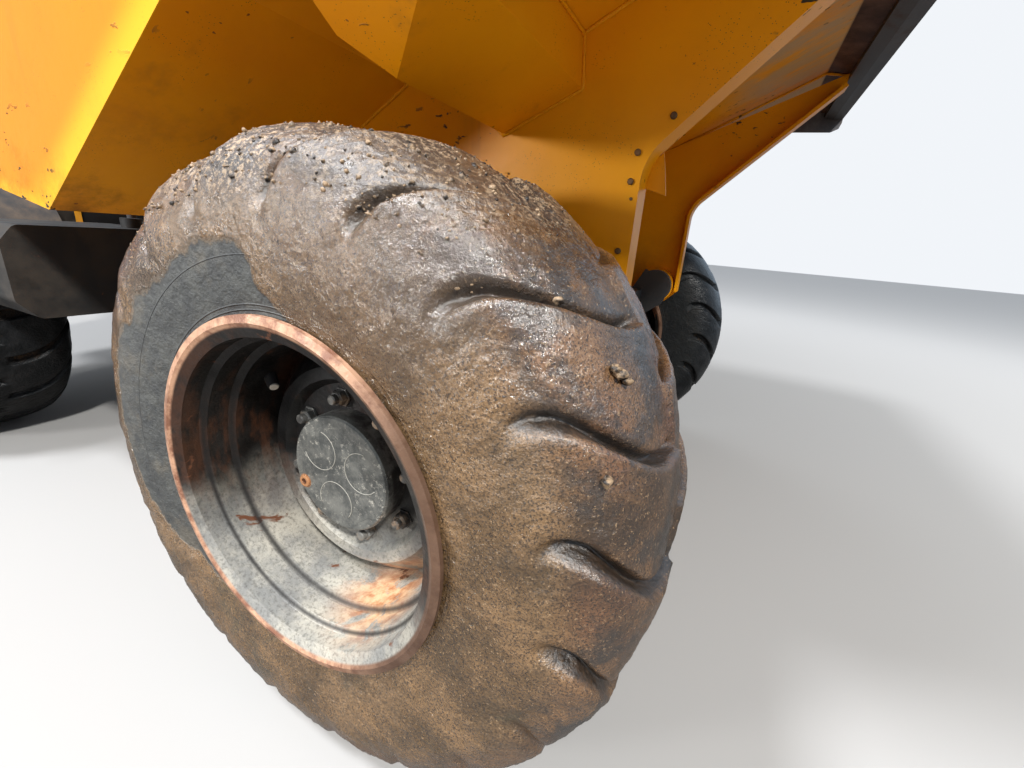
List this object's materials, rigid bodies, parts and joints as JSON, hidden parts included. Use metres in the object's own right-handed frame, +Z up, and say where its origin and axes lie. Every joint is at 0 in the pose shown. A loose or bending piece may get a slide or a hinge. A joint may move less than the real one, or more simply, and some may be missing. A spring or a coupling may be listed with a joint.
{
  "type": "articulated site dumper",
  "caption": "Front-tip articulated site dumper with a steel skip on folded side legs, deep-dished wheels on lugged tyres, roll bar and rear engine under a hinged bonnet.",
  "frame": {"origin": "on the ground, midway along the machine and on its centre plane", "axes": "+X forward towards the skip's lip, +Y to the driver's left, +Z up"},
  "size_m": [4.29, 2.513, 3.2],
  "materials": {
    "chassis_black": "black paint, dusty",
    "axle_black": "black paint over cast iron",
    "skip_yellow": "golden yellow gloss paint, dirt specks",
    "bare_steel": "bare dark worn steel",
    "rod_chrome": "polished",
    "engine_grey": "grey paint",
    "deck_black": "black",
    "tank_black": "satin black",
    "seat_vinyl": "black vinyl",
    "console_black": "matt black",
    "lamp_black": "black housing",
    "beacon_amber": "amber",
    "lamp_red": "red",
    "exhaust_steel": "heat stained",
    "body_yellow": "golden yellow gloss paint",
    "tyre": "black rubber, muddy",
    "rim_steel": "worn dark paint with rust on the flange",
    "hub_paint": "dark grey paint"
  },
  "bodies": {
    "front_frame": {"front_chassis": "chassis_black", "front_axle": "axle_black", "shaft_front": "axle_black"},
    "skip": {"skip_tub": "skip_yellow", "skip_legs": "skip_yellow", "skip_lip": "bare_steel"},
    "tip_barrel_left_body": {"tip_barrel_left": "chassis_black"},
    "tip_rod_left_body": {"tip_rod_left": "rod_chrome"},
    "tip_barrel_right_body": {"tip_barrel_right": "chassis_black"},
    "tip_rod_right_body": {"tip_rod_right": "rod_chrome"},
    "steer_barrel_body": {"steer_barrel": "chassis_black"},
    "steer_rod_body": {"steer_rod": "rod_chrome"},
    "rear_frame": {"rear_chassis": "chassis_black", "rear_axle": "axle_black", "shaft_rear": "axle_black", "engine": "engine_grey", "gearbox": "engine_grey", "platform": "deck_black", "fuel_tank": "tank_black", "hydraulic_tank": "tank_black", "mudguards": "deck_black", "counterweight": "chassis_black", "seat_box": "chassis_black", "seat_cushion": "seat_vinyl", "console": "console_black", "steering_wheel": "console_black", "roll_bar": "chassis_black", "work_lamps": "lamp_black", "beacon": "beacon_amber", "rear_lamps": "lamp_red", "exhaust": "exhaust_steel"},
    "bonnet_lid": {"bonnet": "body_yellow", "grille": "deck_black"},
    "wheel_front_left": {"tyre_front_left": "tyre", "rim_front_left": "rim_steel", "hub_front_left": "hub_paint"},
    "wheel_front_right": {"tyre_front_right": "tyre", "rim_front_right": "rim_steel", "hub_front_right": "hub_paint"},
    "wheel_rear_left": {"tyre_rear_left": "tyre", "rim_rear_left": "rim_steel", "hub_rear_left": "hub_paint"},
    "wheel_rear_right": {"tyre_rear_right": "tyre", "rim_rear_right": "rim_steel", "hub_rear_right": "hub_paint"}
  },
  "joints": [
    {"name": "steering", "type": "hinge", "parent": "front_frame", "child": "rear_frame", "pos_m": [0, 0, 0.64], "axis": [0, 0, 1], "range_deg": [-28, 28]},
    {"name": "skip_tip", "type": "hinge", "parent": "front_frame", "child": "skip", "pos_m": [1.52, 0, 0.87], "axis": [0, 1, 0], "range_deg": [0, 60]},
    {"name": "tip_barrel_left_swing", "type": "hinge", "parent": "front_frame", "child": "tip_barrel_left_body", "pos_m": [0.33, 0.46, 0.56], "axis": [0, 1, 0], "range_deg": [-7.3, 1]},
    {"name": "tip_rod_left_slide", "type": "slide", "parent": "tip_barrel_left_body", "child": "tip_rod_left_body", "axis": [0.8944, 0, 0.4472], "range_m": [0, 0.385]},
    {"name": "tip_barrel_right_swing", "type": "hinge", "parent": "front_frame", "child": "tip_barrel_right_body", "pos_m": [0.33, -0.46, 0.56], "axis": [0, 1, 0], "range_deg": [-7.3, 1]},
    {"name": "tip_rod_right_slide", "type": "slide", "parent": "tip_barrel_right_body", "child": "tip_rod_right_body", "axis": [0.8944, 0, 0.4472], "range_m": [0, 0.385]},
    {"name": "steer_barrel_swing", "type": "hinge", "parent": "front_frame", "child": "steer_barrel_body", "pos_m": [0.56, 0.33, 0.64], "axis": [0, 0, 1], "range_deg": [-8, 8]},
    {"name": "steer_rod_slide", "type": "slide", "parent": "steer_barrel_body", "child": "steer_rod_body", "axis": [-0.9984, 0.0562, 0], "range_m": [-0.19, 0.19]},
    {"name": "bonnet_lid", "type": "hinge", "parent": "rear_frame", "child": "bonnet_lid", "pos_m": [-2.1, 0, 0.925], "axis": [0, -1, 0], "range_deg": [0, 60]},
    {"name": "wheel_front_left_spin", "type": "hinge", "parent": "front_frame", "child": "wheel_front_left", "pos_m": [1.25, 1.0065, 0.59], "axis": [0, 1, 0], "continuous": true},
    {"name": "wheel_front_right_spin", "type": "hinge", "parent": "front_frame", "child": "wheel_front_right", "pos_m": [1.25, -1.0065, 0.59], "axis": [0, 1, 0], "continuous": true},
    {"name": "wheel_rear_left_spin", "type": "hinge", "parent": "rear_frame", "child": "wheel_rear_left", "pos_m": [-1.25, 1.0065, 0.59], "axis": [0, 1, 0], "continuous": true},
    {"name": "wheel_rear_right_spin", "type": "hinge", "parent": "rear_frame", "child": "wheel_rear_right", "pos_m": [-1.25, -1.0065, 0.59], "axis": [0, 1, 0], "continuous": true}
  ],
  "couplings": [
    {"joint": "tip_barrel_left_swing", "follows": "skip_tip", "ratio": -0.10472},
    {"joint": "tip_rod_left_slide", "follows": "skip_tip", "m_per_rad": 0.36547},
    {"joint": "tip_barrel_right_swing", "follows": "skip_tip", "ratio": -0.10472},
    {"joint": "tip_rod_right_slide", "follows": "skip_tip", "m_per_rad": 0.36547},
    {"joint": "steer_barrel_swing", "follows": "steering", "ratio": 0.21852},
    {"joint": "steer_rod_slide", "follows": "steering", "m_per_rad": 0.35423}
  ]
}
